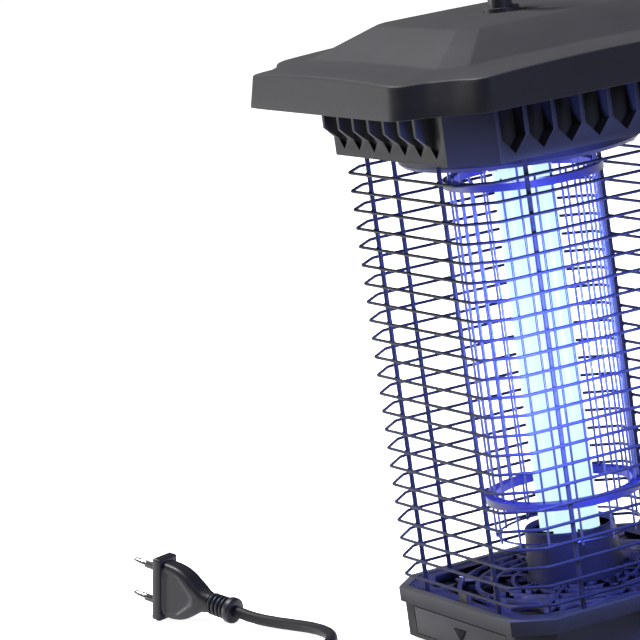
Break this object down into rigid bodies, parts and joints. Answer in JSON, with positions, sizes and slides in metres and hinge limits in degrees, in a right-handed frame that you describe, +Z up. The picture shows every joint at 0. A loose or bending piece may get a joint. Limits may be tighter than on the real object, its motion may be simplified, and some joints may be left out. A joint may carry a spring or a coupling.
{
  "type": "electric insect killer lantern",
  "caption": "Square hanging lantern insect killer: finned housing under a wide roof, wire guard round a lit grid and lamp, base with pull-out catch tray, mains lead and plug.",
  "frame": {"origin": "centre of the lantern's footprint on the floor, below the lamp's axis", "axes": "+Z up along the lamp; -X towards the end where the catch tray pulls out; -Y towards the side where the mains lead leaves the base"},
  "size_m": [0.3754, 0.3787, 0.3728],
  "materials": {
    "housing_plastic": "fine satin grain, dark grey",
    "hanger_plastic": "satin, dark grey",
    "hanger_steel": "black powder coat",
    "zinc_steel": "zinc plated",
    "inner_plastic": "satin, dark grey",
    "board_green": "solder mask",
    "tape_yellow": "taped winding",
    "capacitor_sleeve": "shrink sleeve",
    "heat_sink_metal": "extruded",
    "guard_paint": "dark grey satin coat on steel wire",
    "insulator_plastic": "satin, pale under the lamp",
    "grid_steel": "drawn steel wire",
    "lamp_glass": "frosted phosphor tube, lit",
    "lamp_cap": "off-white",
    "tab_plastic": "grey",
    "mark_plastic": "black",
    "foot_rubber": "matt",
    "lead_rubber": "satin black",
    "plug_plastic": "moulded, satin black",
    "pin_metal": "nickel plated"
  },
  "bodies": {
    "lantern": {"roof_cover": "housing_plastic", "top_housing": "housing_plastic", "base_body": "housing_plastic", "hanger_post": "hanger_plastic", "hanger_nut": "zinc_steel", "carrier_screws": "zinc_steel", "base_screws": "zinc_steel", "grid_carrier": "inner_plastic", "pedestal": "inner_plastic", "base_deck": "inner_plastic", "driver_board": "board_green", "transformer": "tape_yellow", "capacitors": "capacitor_sleeve", "heat_sink": "heat_sink_metal", "guard_left": "guard_paint", "guard_right": "guard_paint", "guard_front": "guard_paint", "guard_back": "guard_paint", "insulator_top": "insulator_plastic", "insulator_bottom": "insulator_plastic", "rods_live": "grid_steel", "rods_earth": "grid_steel", "contact_ring_top": "grid_steel", "contact_ring_bottom": "grid_steel", "lamp_tube_a": "lamp_glass", "lamp_tube_b": "lamp_glass", "lamp_base": "lamp_cap", "lamp_socket": "lamp_cap", "deck_tab": "tab_plastic", "foot_1": "foot_rubber", "foot_2": "foot_rubber", "foot_3": "foot_rubber", "foot_4": "foot_rubber", "lead_relief": "lead_rubber", "lead_in": "lead_rubber", "lead_coil": "lead_rubber", "lead_out": "lead_rubber", "plug_body": "plug_plastic", "plug_neck": "plug_plastic", "plug_sleeves": "plug_plastic", "plug_pins": "pin_metal"},
    "tray": {"catch_tray": "housing_plastic", "tray_mark": "mark_plastic"},
    "ring": {"hanger_ring": "hanger_steel"}
  },
  "joints": [
    {"name": "tray_slide", "type": "slide", "parent": "lantern", "child": "tray", "axis": [-1, 0, 0], "range_m": [0, 0.1]},
    {"name": "ring_swing", "type": "hinge", "parent": "lantern", "child": "ring", "pos_m": [0, 0, 0.3308], "axis": [0, 1, 0], "range_deg": [-85, 85]}
  ]
}
